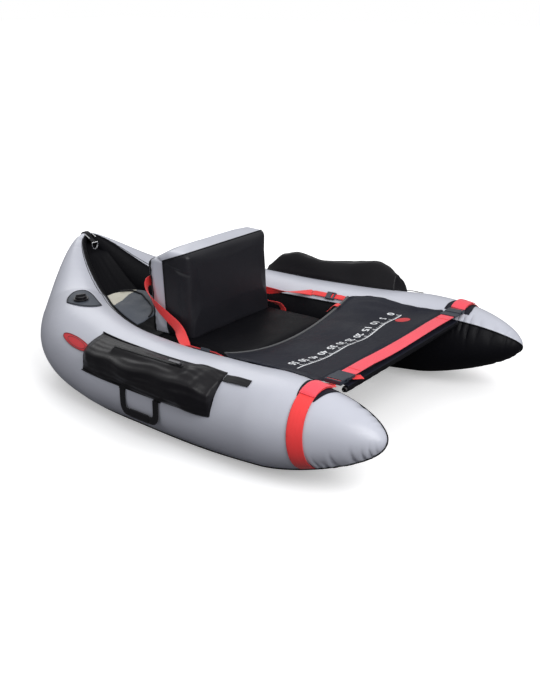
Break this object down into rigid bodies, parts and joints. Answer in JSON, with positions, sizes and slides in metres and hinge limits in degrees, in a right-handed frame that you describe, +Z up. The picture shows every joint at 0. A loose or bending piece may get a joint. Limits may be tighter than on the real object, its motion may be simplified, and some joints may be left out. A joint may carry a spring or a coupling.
{
  "type": "float tube",
  "caption": "Inflatable belly boat for fishing: a U of two air pontoons with a padded seat, a folding backrest, an apron, side bags and adjusting straps.",
  "frame": {"origin": "floor level under the middle of the bounding box", "axes": "+Z up, bows toward -Y, stern peak toward +Y, +X to the sitter's left"},
  "size_m": [1.1332, 1.5222, 0.4705],
  "materials": {
    "apron_navy": "fine woven nylon, matt",
    "badge_red": "welded vinyl, satin",
    "bar_metal": "mill finish",
    "bladder_film": "smooth film",
    "cover_grey": "PVC-coated cloth, satin",
    "hem_grey": "binding tape, matt",
    "nylon_black": "coated nylon, soft sheen",
    "piping_black": "ribbed tape",
    "ring_metal": "plated wire, bright",
    "slate_fabric": "coated cloth, matt",
    "slate_plastic": "moulded nylon, satin",
    "webbing_black": "woven webbing, matt",
    "webbing_red": "woven webbing, matt"
  },
  "bodies": {
    "hull": {"apron": "apron_navy", "apron_binding": "hem_grey", "apron_hem": "nylon_black", "cargo_flap": "slate_fabric", "cargo_floor": "nylon_black", "cross_strap": "webbing_red", "flap_binding": "piping_black", "left_apron_corner": "apron_navy", "left_badge": "badge_red", "left_bag": "nylon_black", "left_bag_tab": "webbing_black", "left_bag_zip": "piping_black", "left_base_strap": "webbing_red", "left_bladder": "bladder_film", "left_buckle_socket": "slate_plastic", "left_cover_lower": "nylon_black", "left_cover_upper": "cover_grey", "left_ring_strap": "webbing_red", "left_seam_piping": "piping_black", "left_side_strap": "webbing_red", "left_tube_strap": "webbing_red", "left_valve_body": "slate_plastic", "left_valve_patch": "slate_fabric", "pull_tab": "webbing_red", "right_apron_corner": "apron_navy", "right_badge": "badge_red", "right_bag": "nylon_black", "right_bag_tab": "webbing_black", "right_bag_zip": "piping_black", "right_base_strap": "webbing_red", "right_bladder": "bladder_film", "right_buckle_socket": "slate_plastic", "right_cover_lower": "nylon_black", "right_cover_upper": "cover_grey", "right_ring_strap": "webbing_red", "right_seam_piping": "piping_black", "right_side_strap": "webbing_red", "right_tube_strap": "webbing_red", "right_valve_body": "slate_plastic", "right_valve_patch": "slate_fabric", "seat_cushion": "nylon_black", "seat_sling": "nylon_black", "spreader_bar": "bar_metal", "stern_tab": "webbing_black"},
    "backrest": {"backrest_front": "nylon_black", "backrest_gusset": "cover_grey", "backrest_panel": "nylon_black", "backrest_bladder": "bladder_film"},
    "left_plug": {"left_buckle_plug": "slate_plastic"},
    "left_cap": {"left_valve_cap": "slate_plastic"},
    "left_slider": {"left_zip_slider": "ring_metal"},
    "left_handle": {"left_carry_handle": "webbing_black"},
    "left_adjuster": {"left_strap_adjuster": "slate_plastic"},
    "right_plug": {"right_buckle_plug": "slate_plastic"},
    "right_cap": {"right_valve_cap": "slate_plastic"},
    "right_slider": {"right_zip_slider": "ring_metal"},
    "right_handle": {"right_carry_handle": "webbing_black"},
    "right_adjuster": {"right_strap_adjuster": "slate_plastic"},
    "loop": {"stern_loop": "ring_metal"}
  },
  "joints": [
    {"name": "backrest_fold", "type": "hinge", "parent": "hull", "child": "backrest", "pos_m": [0, 0.06998, 0.1975], "axis": [1, 0, 0], "range_deg": [0, 80], "deforming": ["left_side_strap", "right_side_strap", "left_base_strap", "right_base_strap"]},
    {"name": "left_buckle_release", "type": "slide", "parent": "hull", "child": "left_plug", "axis": [-1, 0, 0], "range_m": [0, 0.026]},
    {"name": "left_valve_cap_turn", "type": "hinge", "parent": "hull", "child": "left_cap", "pos_m": [0.31198, 0.44667, 0.28456], "axis": [0.0432, -0.0041, 0.9991], "continuous": true},
    {"name": "left_bag_zip_pull", "type": "slide", "parent": "hull", "child": "left_slider", "axis": [-0.0748, 0.997, -0.0196], "range_m": [0, 0.2]},
    {"name": "left_handle_swing", "type": "hinge", "parent": "hull", "child": "left_handle", "pos_m": [0.53753, -0.01105, 0.14615], "axis": [0.0756, -0.9971, 0], "range_deg": [0, 38]},
    {"name": "left_strap_adjust", "type": "slide", "parent": "hull", "child": "left_adjuster", "axis": [-0.0367, 0.9992, -0.0161], "range_m": [0, 0.03]},
    {"name": "right_buckle_release", "type": "slide", "parent": "hull", "child": "right_plug", "axis": [1, 0, 0], "range_m": [0, 0.026]},
    {"name": "right_valve_cap_turn", "type": "hinge", "parent": "hull", "child": "right_cap", "pos_m": [-0.31198, 0.44667, 0.28456], "axis": [-0.0432, -0.0041, 0.9991], "continuous": true},
    {"name": "right_bag_zip_pull", "type": "slide", "parent": "hull", "child": "right_slider", "axis": [0.085, 0.996, -0.0282], "range_m": [0, 0.2]},
    {"name": "right_handle_swing", "type": "hinge", "parent": "hull", "child": "right_handle", "pos_m": [-0.53753, -0.01105, 0.14615], "axis": [0.0756, 0.9971, 0], "range_deg": [0, 38]},
    {"name": "right_strap_adjust", "type": "slide", "parent": "hull", "child": "right_adjuster", "axis": [0.0367, 0.9992, -0.0161], "range_m": [0, 0.03]},
    {"name": "stern_loop_swing", "type": "hinge", "parent": "hull", "child": "loop", "pos_m": [0, 0.69991, 0.37351], "axis": [1, 0, 0], "range_deg": [-35, 35]}
  ]
}
